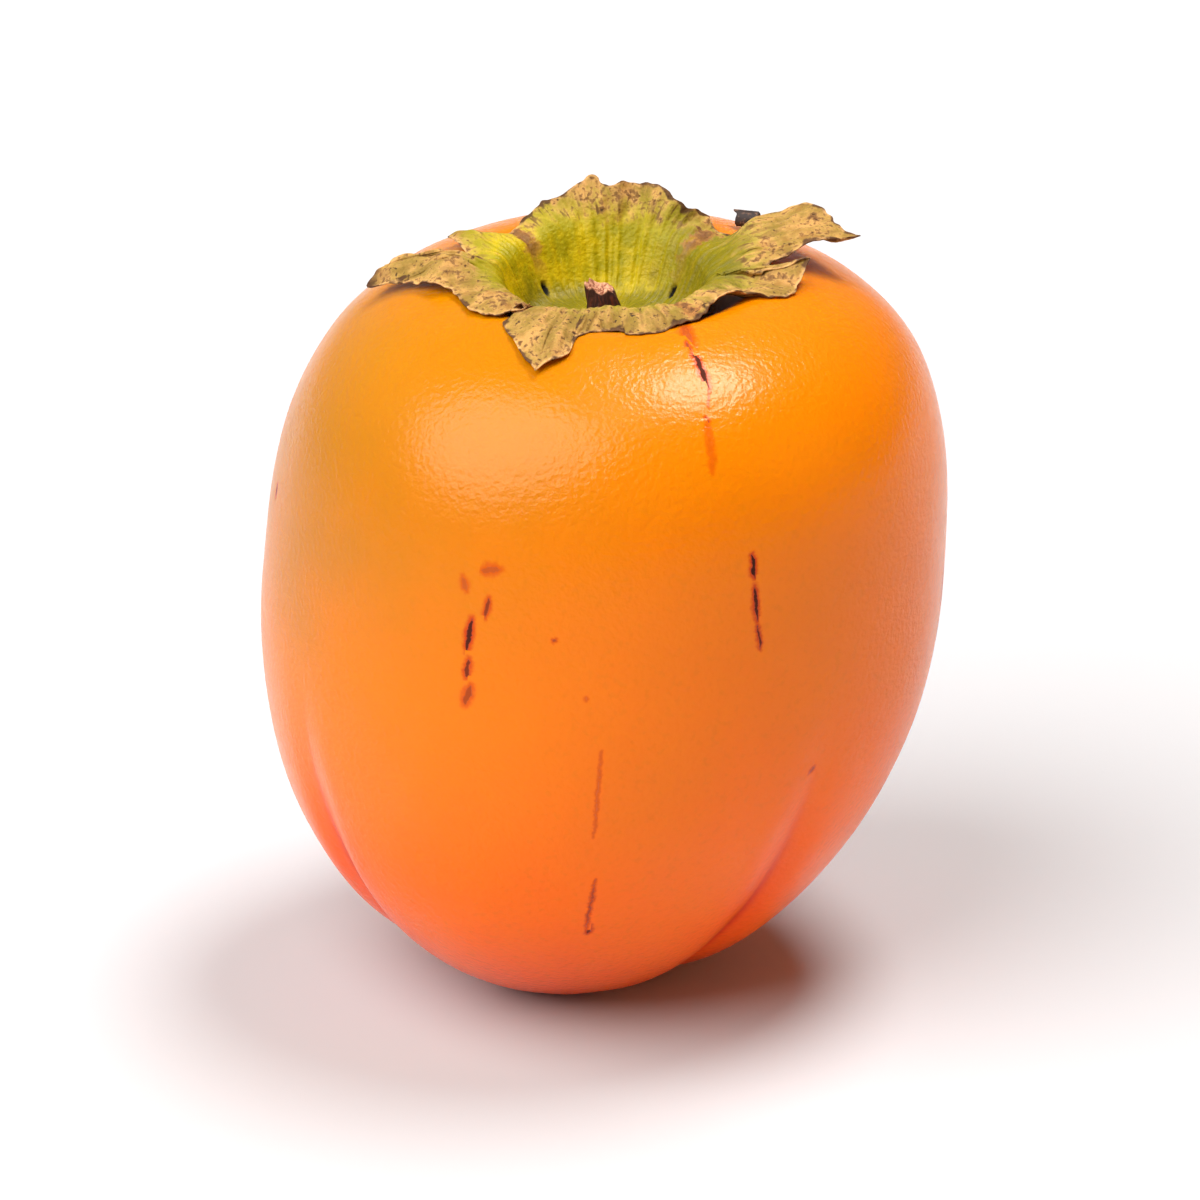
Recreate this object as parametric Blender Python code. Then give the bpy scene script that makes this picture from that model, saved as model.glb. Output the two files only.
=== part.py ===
"""A persimmon standing on its blossom end, with its dried four-lobed calyx and the stub of its stem.

Metres, +Z up; the front looks towards -Y. The origin is on the small flat that the fruit rests on,
straight under its centre of mass. There are four pieces, each one solid: the fruit, the calyx in
the hollow of its stem end, the cut stem standing in the calyx, and the dried tip of the style in
the pit of the blossom end. Neighbours keep a hair of space between them.
"""

import math

import bmesh
import bpy
import numpy as np

# Fruit. Heights count from the floor.
GIRTH_RADIUS = 0.0370
GIRTH_HEIGHT = 0.0459
CROWN_HEIGHT = 0.0829  # plane of the shoulders, before the hollow for the calyx is sunk
FLOOR_CUT = 0.0015  # how much of the rounded blossom end the flat takes away
BELLY_POWER = 2.05  # superellipse powers: 2 is an ellipse, more is squarer
SHOULDER_POWER = 3.2
LEAN = 0.078  # sideways drift of the fruit's axis for each unit of height
MASS_HEIGHT = 0.043
FRUIT_ROWS = 36
FRUIT_COLUMNS = 64
ROW_CROWDING = 0.11  # draws rows together at both ends, where the small shapes are

# Blossom end
GROOVE_AZIMUTHS = (35, 122, 208, 313)
GROOVE_DEPTH = 0.0013
GROOVE_HALF_WIDTH = 0.0028
GROOVE_PIT_WIDTH = 0.0005  # half width at the pit, where the four grooves meet
GROOVE_SPREAD = 0.3  # half width gained for each unit of distance from the pit
GROOVE_FULL_HEIGHT = 0.012
GROOVE_END_HEIGHT = 0.046
PIT_DEPTH = 0.0024
PIT_RADIUS = 0.0020

# Stem end
HOLLOW_DEPTH = 0.0082
HOLLOW_RADIUS = 0.0130
HOLLOW_POWER = 5
SWELLING = 0.0005  # four faint swellings of the girth, between the grooves

# Calyx
CALYX_X = 0.0005
CALYX_FLOOR_HEIGHT = 0.0761
CALYX_THICKNESS = 0.0006
GAP = 0.00035
BOWL_RINGS = ((0.0062, 0.0), (0.0089, 0.0001), (0.0104, 0.0033))  # radius, height over the floor
RIM_RADIUS = 0.0116
CALYX_COLUMNS = 128
CALYX_PLACES = (1, 2, 2.5, 3, 3.5, 4, 4.35, 4.7, 5, 5.5, 6, 6.5, 7)  # of its rows, from ring to ring
CRUMPLE = 0.0003

# Height of the bowl's rim over its floor in millimetres, by azimuth: 0 is +X, 90 is +Y
RIM_HEIGHTS = (
    (0, 6.2), (40, 6.1), (90, 6.3), (140, 6.1), (180, 6.4), (228, 6.0), (250, 6.9), (270, 7.2),
    (290, 6.9), (312, 6.5), (330, 6.6),
)

# The lines of the calyx: the azimuth where one leaves the rim, and the azimuth, radius and height
# over the floor where it ends on the torn margin; then how far it arches up between the two.
# Degrees and millimetres.
RIGHT_LOBE = (
    (-52, -52, 16.7, 6.1, 0.0), (-41, -41, 16.0, 7.4, 0.3), (-30, -29, 16.7, 7.3, 0.2),
    (-22, -21, 18.9, 5.8, -0.2), (-15, -14, 21.0, 5.6, -0.4), (-10, -7, 21.9, 6.8, -0.3),
    (-9, -5, 22.2, 7.4, -0.2), (-7, -8, 17.0, 6.5, 0.0), (-5.5, -3, 18.4, 7.7, 0.2),
    (-1.5, 4, 22.5, 8.8, 0.8), (3, 9, 28.3, 8.7, 1.2), (9, 16, 26.2, 9.1, 1.0),
    (18, 26, 24.5, 9.3, 0.6), (28, 34, 20.5, 8.2, 0.3), (38, 39, 17.5, 6.3, 0.2),
)
BACK_LOBE = (
    (46, 48, 17.3, 7.3, 0.2), (54, 53.5, 15.0, 8.4, 0.2), (64, 62, 14.7, 10.1, 0.2),
    (73, 72, 14.9, 10.7, 0.2), (86, 89, 14.1, 10.1, 0.2), (91, 94.5, 14.9, 11.5, 0.2),
    (102, 106, 14.3, 10.0, 0.2), (111, 117, 15.1, 8.9, 0.2), (121, 126, 14.4, 7.9, 0.2),
    (132, 134.5, 14.3, 6.6, 0.2),
)
LEFT_LOBE = (
    (143, 144.5, 16.4, 6.1, 0.5), (154, 149.5, 18.6, 5.9, 0.6), (163, 164.5, 15.3, 6.1, 0.3),
    (173, 176, 13.8, 5.9, 0.2), (177, 174, 17.7, 6.8, 1.2), (181, 173.5, 23.2, 6.0, 2.4),
    (185, 177, 26.2, 3.6, 2.8), (189, 181, 22.6, 5.3, 2.6), (196, 191.5, 19.3, 6.2, 1.4),
    (206, 206, 17.5, 6.2, 0.6), (217, 223, 17.2, 5.8, 0.4), (225, 228, 15.2, 6.1, 0.2),
    (228, 230, 13.5, 6.3, 0.1),
)
FRONT_LOBE = (
    (234, 232, 17.4, 5.7, 0.6), (241, 241, 20.1, 5.3, 0.9), (250, 252.5, 24.5, 3.9, 1.1),
    (258, 259.5, 21.1, 5.0, 0.9), (264, 261, 17.8, 5.8, 0.5), (274, 270, 15.6, 5.7, 0.4),
    (281, 277, 17.0, 5.5, 0.4), (292, 289.5, 17.5, 5.5, 0.4), (303, 304, 16.7, 5.8, 0.2),
)

# Stem stub and style tip
STEM_HEIGHT = 0.0040
STEM_FOOT_RADIUS = 0.0020
STEM_TOP_RADIUS = 0.0015
STEM_LEAN = (-0.0006, 0.0003)
STEM_RINGS = 6
STEM_SIDES = 16
STYLE_LENGTH = 0.0010
STYLE_RADIUS = 0.0005
STYLE_ROOM = 0.0009  # above it, up to the roof of the pit, whose sides slope
STYLE_SIDES = 8


def clear_scene():
    """Remove whatever the open file holds."""
    for leftover in list(bpy.data.objects):
        bpy.data.objects.remove(leftover, do_unlink=True)


def make_material(name, colour, roughness):
    """A plain, non-metallic Principled material."""
    material = bpy.data.materials.new(name)
    material.use_nodes = True
    shader = material.node_tree.nodes["Principled BSDF"]
    shader.inputs["Base Color"].default_value = (*colour, 1.0)
    shader.inputs["Roughness"].default_value = roughness
    shader.inputs["Metallic"].default_value = 0.0
    return material


def make_object(name, mesh, material):
    """Put a mesh in the scene as one smooth-shaded piece."""
    piece = bpy.data.objects.new(name, mesh)
    bpy.context.scene.collection.objects.link(piece)
    mesh.materials.append(material)
    mesh.shade_smooth()
    return piece


def smooth_step(low, high, value):
    """0 below low, 1 above high, and an S curve between them."""
    share = np.clip((value - low) / (high - low), 0.0, 1.0)
    return share * share * (3.0 - 2.0 * share)


def polar_mesh(name, rings, first_pole, last_pole=None):
    """A mesh of rings of points, closed with a fan at the first pole and, if given, at the last.

    rings holds rows of columns of points. Quads are split the same way all over, so that a wall
    made from the mesh has the same triangles on both faces.
    """
    rows, columns = rings.shape[:2]
    points = [*rings.reshape(-1, 3), first_pole]
    first = rows * columns
    faces = []
    for column in range(columns):
        after = (column + 1) % columns
        faces.append((first, column, after))
        for row in range(rows - 1):
            low, high = row * columns, (row + 1) * columns
            faces.append((low + column, high + column, high + after))
            faces.append((low + column, high + after, low + after))
    if last_pole is not None:
        points.append(last_pole)
        last = (rows - 1) * columns
        faces += [(last + (c + 1) % columns, last + c, first + 1) for c in range(columns)]
    mesh = bpy.data.meshes.new(name)
    mesh.from_pydata([tuple(map(float, point)) for point in points], [], faces)
    mesh.update()
    return mesh


# ---------------------------------------------------------------- fruit


def fruit_outline(turn):
    """Radius and height at turn, from -pi/2 at the blossom end to pi/2 at the stem end.

    Two superellipse quarters, the belly and the shoulder, meet at the widest girth.
    """
    power = np.where(turn < 0, BELLY_POWER, SHOULDER_POWER)
    reach = np.where(turn < 0, GIRTH_HEIGHT + FLOOR_CUT, CROWN_HEIGHT - GIRTH_HEIGHT)
    radius = GIRTH_RADIUS * np.maximum(np.cos(turn), 0.0) ** (2 / power)
    rise = np.sign(turn) * np.abs(np.sin(turn)) ** (2 / power)
    return radius, GIRTH_HEIGHT + reach * rise


def spaced_outline(rows):
    """The outline as rows + 1 points and their outward normals, closer together at both ends."""
    turn = np.linspace(-math.pi / 2, math.pi / 2, 4001)
    radius, height = fruit_outline(turn)
    length = np.concatenate([[0.0], np.cumsum(np.hypot(np.diff(radius), np.diff(height)))])
    share = np.linspace(0.0, 1.0, rows + 1)
    place = length[-1] * (share - ROW_CROWDING * np.sin(2 * math.pi * share))
    radius, height = np.interp(place, length, radius), np.interp(place, length, height)
    along = np.stack([np.gradient(radius, place), np.gradient(height, place)])
    along /= np.hypot(*along)
    return radius, height, along[1], -along[0]


def axis_x(radius, height):
    """Where the middle of a ring of the fruit lies in X: it leans, and ends over the calyx."""
    leaning = LEAN * (height - MASS_HEIGHT)
    end = CALYX_X - LEAN * (CROWN_HEIGHT - MASS_HEIGHT)
    drawn_in = (1.0 - (radius / GIRTH_RADIUS) ** 2) ** 2
    return leaning + np.where(height > GIRTH_HEIGHT, end * drawn_in, 0.0)


def hollow_depth(radius):
    """How far the stem end is sunk at a distance from the calyx's axis."""
    return HOLLOW_DEPTH * np.exp(-((radius / HOLLOW_RADIUS) ** HOLLOW_POWER))


def groove_depth(radius, height, azimuth):
    """How far the blossom end's grooves and pit press into the fruit."""
    half_width = np.minimum(GROOVE_PIT_WIDTH + GROOVE_SPREAD * radius, GROOVE_HALF_WIDTH)
    deepest = np.zeros(np.broadcast(radius, azimuth).shape)
    for groove in np.radians(GROOVE_AZIMUTHS):
        turned = azimuth - groove
        across = np.where(np.cos(turned) > 0, radius * np.abs(np.sin(turned)), radius)
        deepest = np.maximum(deepest, np.exp(-((across / half_width) ** 2)))
    fade = 1.0 - smooth_step(GROOVE_FULL_HEIGHT, GROOVE_END_HEIGHT, height)
    low = height < GIRTH_HEIGHT
    pit = np.where(low, PIT_DEPTH * np.exp(-((radius / PIT_RADIUS) ** 2)), 0.0)
    return GROOVE_DEPTH * deepest * fade + pit


def swelling(height, azimuth):
    """Four faint swellings round the girth, each between two grooves."""
    middle = math.radians(sum(GROOVE_AZIMUTHS) / 4 - 135)
    band = np.exp(-(((height - 0.8 * GIRTH_HEIGHT) / (0.5 * GIRTH_HEIGHT)) ** 2))
    return -SWELLING * np.cos(4 * (azimuth - middle)) * band


def fruit_points(radius, height, normal_out, normal_up, azimuth):
    """Points of the skin: the outline turned round the leaning axis, then raised and pressed in."""
    press = swelling(height, azimuth) - groove_depth(radius, height, azimuth)
    out = radius + press * normal_out
    up = height + press * normal_up - np.where(height > GIRTH_HEIGHT, hollow_depth(radius), 0.0)
    x = axis_x(radius, height) + out * np.cos(azimuth)
    return np.stack(np.broadcast_arrays(x, out * np.sin(azimuth), up), axis=-1)


def crown_height(x, y):
    """Height of the skin of the stem end under a point of the plan."""
    radius = np.hypot(x - CALYX_X, y)
    for _ in range(5):
        share = np.clip(radius / GIRTH_RADIUS, 0.0, 0.999)
        rise = (1.0 - share**SHOULDER_POWER) ** (1 / SHOULDER_POWER)
        height = GIRTH_HEIGHT + (CROWN_HEIGHT - GIRTH_HEIGHT) * rise
        radius = np.hypot(x - axis_x(radius, height), y)
    return height - hollow_depth(radius)


def make_floor_cutter():
    """A hidden block under the floor, which cuts the fruit flat where it rests."""
    mesh = bpy.data.meshes.new("floor_cutter")
    shape = bmesh.new()
    bmesh.ops.create_cube(shape, size=2 * GIRTH_RADIUS)
    bmesh.ops.translate(shape, verts=shape.verts, vec=(0.0, 0.0, -GIRTH_RADIUS))
    shape.to_mesh(mesh)
    shape.free()
    cutter = bpy.data.objects.new("floor_cutter", mesh)
    bpy.context.scene.collection.objects.link(cutter)
    cutter.hide_render = True
    cutter.display_type = "WIRE"
    return cutter


def make_fruit():
    """The fruit: one solid body, flat where it rests."""
    outline = [values[:, None] for values in spaced_outline(FRUIT_ROWS)]
    azimuth = np.linspace(0.0, 2 * math.pi, FRUIT_COLUMNS, endpoint=False)[None, :]
    points = fruit_points(*outline, azimuth)
    mesh = polar_mesh("fruit", points[1:-1], points[0].mean(axis=0), points[-1].mean(axis=0))
    mesh.flip_normals()
    fruit = make_object("fruit", mesh, make_material("skin", (0.94, 0.27, 0.01), 0.35))
    cut = fruit.modifiers.new("resting flat", "BOOLEAN")
    cut.operation = "DIFFERENCE"
    cut.solver = "EXACT"
    cut.object = make_floor_cutter()
    return fruit


# ---------------------------------------------------------------- calyx


def calyx_lines(columns):
    """Azimuth on the rim, end on the margin and arch of each line, evenly along the margin."""
    first = np.array(RIGHT_LOBE[:1], dtype=float) + [360.0, 360.0, 0.0, 0.0, 0.0]
    table = np.concatenate([RIGHT_LOBE, BACK_LOBE, LEFT_LOBE, FRONT_LOBE, first])
    rim, turn = np.radians(table[:, 0]), np.radians(table[:, 1])
    radius, height, arch = 0.001 * table[:, 2:].T
    margin = np.stack([radius * np.cos(turn), radius * np.sin(turn), height], axis=-1)
    length = np.linalg.norm(np.diff(margin, axis=0), axis=1) + 0.25 * RIM_RADIUS * np.diff(rim)
    place = np.concatenate([[0.0], np.cumsum(length)])
    line = np.linspace(0.0, place[-1], columns, endpoint=False)
    ends = np.stack([np.interp(line, place, axis) for axis in margin.T], axis=-1)
    return np.interp(line, place, rim), ends, np.interp(line, place, arch)


def calyx_rings(azimuth, margin, arch):
    """The rings that the calyx hangs on: its centre, the bowl's, the rim, halfway, the margin."""
    flat = np.stack([np.cos(azimuth), np.sin(azimuth), np.zeros_like(azimuth)], axis=-1)
    bowl = [radius * flat + [0.0, 0.0, height] for radius, height in BOWL_RINGS]
    rim = RIM_RADIUS * flat
    degrees, heights = zip(*RIM_HEIGHTS)
    rim[:, 2] = 0.001 * np.interp(np.degrees(azimuth), degrees, heights, period=360.0)
    halfway = (rim + margin) / 2
    halfway[:, 2] += arch
    return np.stack([0.0 * flat, *bowl, rim, halfway, margin])


def rounded(rings, place):
    """Rows along the smooth sheet that rings pull on: a quadratic B-spline in each column.

    place counts from 0 on the first ring to len(rings) on the last. Past a whole number by share,
    the three rings there weigh (1 - share)^2 / 2, 1 / 2 + share (1 - share) and share^2 / 2.
    """
    padded = np.concatenate([rings[:1], rings, rings[-1:]])
    leg = np.minimum(place.astype(int), len(rings) - 1)
    share = (place - leg)[:, None, None]
    middle = (0.5 + share * (1.0 - share)) * padded[leg + 1]
    return middle + ((1.0 - share) ** 2 * padded[leg] + share**2 * padded[leg + 2]) / 2


def calyx_points():
    """The calyx's upper face as rows of points, crumpled a little and kept clear of the fruit."""
    azimuth, margin, arch = calyx_lines(CALYX_COLUMNS)
    rings = calyx_rings(azimuth, margin, arch)
    place = np.array(CALYX_PLACES, dtype=float)
    points = rounded(rings, place) + [CALYX_X, 0.0, CALYX_FLOOR_HEIGHT]
    out = place[:, None] / len(rings)
    waves = np.sin(9 * azimuth + 1.0) + 0.7 * np.sin(14 * azimuth + 4.0 * out)
    points[..., 2] += CRUMPLE * waves * smooth_step(0.6, 0.9, out)
    lowest = crown_height(points[..., 0], points[..., 1]) + CALYX_THICKNESS + GAP
    points[..., 2] = np.maximum(points[..., 2], lowest)
    return points


def make_calyx():
    """The calyx: a bowl with four torn lobes, one thin body."""
    mesh = polar_mesh("calyx", calyx_points(), (CALYX_X, 0.0, CALYX_FLOOR_HEIGHT))
    calyx = make_object("calyx", mesh, make_material("calyx", (0.42, 0.30, 0.08), 0.75))
    wall = calyx.modifiers.new("wall", "SOLIDIFY")
    wall.thickness = CALYX_THICKNESS
    wall.offset = -1.0
    return calyx


# ---------------------------------------------------------------- stem and style


def tapered_rings(heights, radii, centres, sides):
    """Rings of points at the given heights, each with its own radius and centre."""
    azimuth = np.linspace(0.0, 2 * math.pi, sides, endpoint=False)[None, :]
    x = centres[:, :1] + radii[:, None] * np.cos(azimuth)
    y = centres[:, 1:] + radii[:, None] * np.sin(azimuth)
    return np.stack([x, y, np.broadcast_to(heights[:, None], x.shape)], axis=-1)


def make_stem():
    """The cut stub of the stem: tapered, ridged and leaning, with a slanting cut."""
    share = np.linspace(0.0, 1.0, STEM_RINGS)
    flare = 0.18 * np.exp(-share / 0.12)
    radii = (STEM_FOOT_RADIUS + (STEM_TOP_RADIUS - STEM_FOOT_RADIUS) * share) * (1.0 + flare)
    centres = np.array([CALYX_X, 0.0]) + share[:, None] ** 2 * np.array(STEM_LEAN)
    foot = CALYX_FLOOR_HEIGHT + GAP
    rings = tapered_rings(foot + STEM_HEIGHT * share, radii, centres, STEM_SIDES)
    azimuth = np.linspace(0.0, 2 * math.pi, STEM_SIDES, endpoint=False)
    ridges = 1.0 + 0.05 * np.sin(5 * azimuth)
    rings[..., 0] = centres[:, :1] + (rings[..., 0] - centres[:, :1]) * ridges
    rings[..., 1] = centres[:, 1:] + (rings[..., 1] - centres[:, 1:]) * ridges
    rings[-1, :, 2] += 0.0003 * np.cos(azimuth - 1.9)
    mesh = polar_mesh("stem", rings, rings[0].mean(axis=0), rings[-1].mean(axis=0))
    mesh.flip_normals()
    stem = make_object("stem", mesh, make_material("stem", (0.09, 0.04, 0.02), 0.85))
    mesh.set_sharp_from_angle(angle=math.radians(50))
    return stem


def make_style_tip():
    """The dried tip of the style, pointing down out of the pit of the blossom end."""
    x = axis_x(0.0, -FLOOR_CUT)
    roof = -FLOOR_CUT + GROOVE_DEPTH + PIT_DEPTH
    mesh = bpy.data.meshes.new("style_tip")
    shape = bmesh.new()
    bmesh.ops.create_cone(
        shape,
        cap_ends=True,
        cap_tris=True,
        segments=STYLE_SIDES,
        radius1=0.35 * STYLE_RADIUS,
        radius2=STYLE_RADIUS,
        depth=STYLE_LENGTH,
    )
    shape.to_mesh(mesh)
    shape.free()
    tip = make_object("style_tip", mesh, make_material("style_tip", (0.03, 0.015, 0.01), 0.9))
    tip.location = (x, 0.0, roof - STYLE_ROOM - STYLE_LENGTH / 2)
    return tip


def main():
    """Build the whole persimmon."""
    clear_scene()
    make_fruit()
    make_calyx()
    make_stem()
    make_style_tip()


if __name__ == "__main__":
    main()
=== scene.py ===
"""The looks of a persimmon: waxy orange skin with fine scars, a dried calyx and a cut stem.

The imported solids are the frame. Each one is replaced by a finer surface of the same form, worked
out on a grid of rows round an upright axis: the fruit from an outline turned round that axis, the
calyx from lines that leave its centre and follow a slope, the stem and the style tip from rings.
Lengths are metres unless a name says otherwise, and azimuths count from +X towards +Y.
"""

import logging
import math
from collections.abc import Callable
from dataclasses import astuple, dataclass, field
from enum import Enum

import bpy
import numpy as np
from mathutils import Matrix, Vector

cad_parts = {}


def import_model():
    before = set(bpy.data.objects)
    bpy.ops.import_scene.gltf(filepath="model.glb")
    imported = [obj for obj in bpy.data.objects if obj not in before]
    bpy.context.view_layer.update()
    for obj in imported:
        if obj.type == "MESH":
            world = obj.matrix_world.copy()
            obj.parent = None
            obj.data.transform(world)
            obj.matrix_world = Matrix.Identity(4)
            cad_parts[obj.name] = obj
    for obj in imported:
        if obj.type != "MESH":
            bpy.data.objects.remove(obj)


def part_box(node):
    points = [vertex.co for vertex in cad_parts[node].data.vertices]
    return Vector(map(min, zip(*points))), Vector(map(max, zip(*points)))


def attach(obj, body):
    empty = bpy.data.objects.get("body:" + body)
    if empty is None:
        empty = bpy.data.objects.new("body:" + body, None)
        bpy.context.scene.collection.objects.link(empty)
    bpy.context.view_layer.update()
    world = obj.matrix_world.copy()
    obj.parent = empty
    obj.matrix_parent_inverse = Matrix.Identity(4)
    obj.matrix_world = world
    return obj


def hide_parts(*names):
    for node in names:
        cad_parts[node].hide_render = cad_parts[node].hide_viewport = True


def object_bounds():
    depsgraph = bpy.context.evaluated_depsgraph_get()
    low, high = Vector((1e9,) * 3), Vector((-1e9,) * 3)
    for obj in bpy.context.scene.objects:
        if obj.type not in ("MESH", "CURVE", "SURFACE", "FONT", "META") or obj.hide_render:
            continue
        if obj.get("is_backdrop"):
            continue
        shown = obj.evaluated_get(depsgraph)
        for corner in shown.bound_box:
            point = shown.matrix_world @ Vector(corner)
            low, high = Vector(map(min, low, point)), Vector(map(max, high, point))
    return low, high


LOG = logging.getLogger("persimmon")
MM = 0.001
TURN = 2 * math.pi

SOLID_CALYX_THICKNESS = 0.6 * MM  # from the solid's lowest point to its bowl's floor
STEM_SPARE = 0.2 * MM  # from the cut's mean height to the solid's top
VIEW_CENTRE = 43 * MM  # the height that the camera looks at
VIEW_SHARE = 1.5  # the height of the view over the part's

Array = np.ndarray
Material = bpy.types.Material
Piece = bpy.types.Object
Socket = bpy.types.NodeSocket
Triple = tuple[float, float, float]
Colour = Triple
Table = tuple[tuple[float, ...], ...]


class CadNode(Enum):
    """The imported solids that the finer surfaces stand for."""

    FRUIT = "fruit"
    CALYX = "calyx"
    STEM = "stem"
    STYLE_TIP = "style_tip"


class Domain(Enum):
    """Where on a mesh an attribute is kept."""

    POINT = "POINT"
    CORNER = "CORNER"
    FACE = "FACE"


# --- numbers and fields


def linear(red: int, green: int, blue: int) -> Colour:
    """Turn a screen colour, 0 to 255 a channel, into the linear one that shaders take."""
    shares = np.array([red, green, blue]) / 255.0
    curved = np.where(shares <= 0.04045, shares / 12.92, ((shares + 0.055) / 1.055) ** 2.4)
    return tuple(float(share) for share in curved)


def smooth_step(low: float, high: float, value: Array) -> Array:
    """0 below low, 1 above high, and an S curve between them."""
    share = np.clip((value - low) / (high - low), 0.0, 1.0)
    return share * share * (3.0 - 2.0 * share)


def bell(value: Array, half_width: float) -> Array:
    """1 at zero, falling to 1/e at half_width on either side."""
    return np.exp(-((value / half_width) ** 2))


def degrees_apart(azimuth: Array, centre: float) -> Array:
    """The turn in degrees, -180 to 180, from centre (degrees) to azimuth (radians)."""
    return (np.degrees(azimuth) - centre + 180.0) % 360.0 - 180.0


def grid_axes(rows: int, columns: int) -> tuple[Array, Array]:
    """The rows' share from first to last, as a column, and the columns' azimuth, as a row."""
    azimuth = np.linspace(0.0, TURN, columns, endpoint=False)
    return np.linspace(0.0, 1.0, rows)[:, None], azimuth[None, :]


def round_axis(x: Array, y: Array, radius: Array, azimuth: Array, height: Array) -> Array:
    """Points at a radius and azimuth round an upright axis through x and y, at a height."""
    places = (x + radius * np.cos(azimuth), y + radius * np.sin(azimuth), height)
    return np.stack(np.broadcast_arrays(*places), axis=-1)


@dataclass(frozen=True)
class Ripple:
    """A smooth random field round an axis: a sum of cosines, each with whole turns round it.

    Fields:
        height: its standard deviation, about.
        seed: of the random draw.
        turns: least and most waves in one turn round the axis.
        wavelength: the shortest wave along a row, in metres.
        waves: how many cosines are added.
    """

    height: float
    seed: int
    turns: tuple[int, int]
    wavelength: float = 1.0
    waves: int = 24

    def __call__(self, azimuth: Array, along: Array) -> Array:
        """Work the field out.

        Args:
            azimuth: in radians.
            along: distance along the rows, of a shape that goes with azimuth.

        Returns:
            The field at each point.
        """
        draw = np.random.default_rng(self.seed)
        turns = draw.integers(self.turns[0], self.turns[1] + 1, self.waves)
        turns = turns * draw.choice([-1, 1], self.waves)
        pace = draw.uniform(-1.0, 1.0, self.waves) * TURN / self.wavelength
        start = draw.uniform(0.0, TURN, self.waves)
        total = np.zeros(np.broadcast(azimuth, along).shape)
        for turn, step, phase in zip(turns, pace, start):
            total += np.cos(turn * azimuth + step * along + phase)
        return total * math.sqrt(2.0 / self.waves) * self.height


# --- meshes


def put(name: str, data: bpy.types.ID) -> Piece:
    """Put a mesh, a light or a camera into the scene as an object at the origin."""
    thing = bpy.data.objects.new(name, data)
    bpy.context.scene.collection.objects.link(thing)
    return thing


def set_attribute(piece: Piece, name: str, domain: Domain, values: Array) -> None:
    """Store a number, or a vector of three, for every element of a domain.

    Args:
        piece: the mesh object.
        name: what the material calls the attribute.
        domain: where it is kept.
        values: one row for each element, of one or three numbers.
    """
    kind, key = ("FLOAT_VECTOR", "vector") if values.ndim == 2 else ("FLOAT", "value")
    attribute = piece.data.attributes.new(name, kind, domain.value)
    attribute.data.foreach_set(key, values.astype(np.float32).ravel())


def with_poles(values: Array) -> Array:
    """Lay a grid out as a mesh's points are: row by row, then the means of the end rows."""
    flat = values.reshape(-1, *values.shape[2:])
    return np.concatenate([flat, values[:1].mean(axis=1), values[-1:].mean(axis=1)])


@dataclass
class RoundGrid:
    """Rows of points round an upright axis, each closed on itself.

    The surface is the grid point(row, column). Its first and last row are drawn together to a
    pole each, at their mean, so the surface is closed.

    Fields:
        points: its points.
        values: what the finish reads at them, by name.
    """

    points: Array
    values: dict[str, Array] = field(default_factory=dict)

    def corners(self) -> list[tuple[Array, Array]]:
        """Row and column of every corner of the first pole's fan, the quads and the last fan.

        The column isn't wrapped at the seam, and at a pole it is the middle of its face's.
        """
        rows, columns = self.points.shape[:2]
        column = np.arange(columns)[:, None]
        row = np.arange(rows - 1)[:, None, None]
        parts = [
            (np.zeros((1, 3)), column + np.array([0.5, 1.0, 0.0])),
            (row + np.array([0, 0, 1, 1]), column + np.array([0, 1, 1, 0])),
            (np.full((1, 3), rows - 1), column + np.array([0.5, 0.0, 1.0])),
        ]
        return [tuple(np.broadcast_arrays(*part)) for part in parts]

    def faces(self) -> list[list[int]]:
        """Number the corners of every face: row by row, then the two poles."""
        rows, columns = self.points.shape[:2]
        first, quads, last = (
            (row * columns + column.astype(int) % columns).astype(int)
            for row, column in self.corners()
        )
        first[:, 0], last[:, 0] = rows * columns, rows * columns + 1
        return [*first.tolist(), *quads.reshape(-1, 4).tolist(), *last.tolist()]

    def build(self, name: str, material: Material, node: CadNode, slot: str) -> Piece:
        """Make the piece, smooth shaded, and let it ride on the body in place of its solid.

        Args:
            name: of the piece.
            material: its finish.
            node: the solid that it stands for.
            slot: not used.

        Returns:
            The piece.
        """
        mesh = bpy.data.meshes.new(name)
        mesh.from_pydata(with_poles(self.points).tolist(), [], self.faces())
        mesh.update()
        mesh.shade_smooth()
        mesh.materials.append(material)
        piece = put(name, mesh)
        for key, values in self.values.items():
            set_attribute(piece, key, Domain.POINT, with_poles(values))
        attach(piece, "root")
        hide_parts(node.value)
        LOG.info("%s: %d faces in place of %s", name, len(mesh.polygons), node.value)
        return piece


# --- shader sketches


def maths(operation: str, swapped: bool = False) -> Callable[..., "Signal"]:
    """Make a method of Signal that adds one Math node.

    Args:
        operation: the node's.
        swapped: whether the other value comes first, as in a reflected operator.

    Returns:
        The method.
    """

    def method(self: "Signal", *others: "Signal | float") -> "Signal":
        """Add the node and give its result."""
        inputs = dict(enumerate((*others, self) if swapped else (self, *others)))
        node = self.sketch.add("ShaderNodeMath", {"operation": operation}, inputs)
        return Signal(self.sketch, node.outputs[0])

    return method


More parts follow.
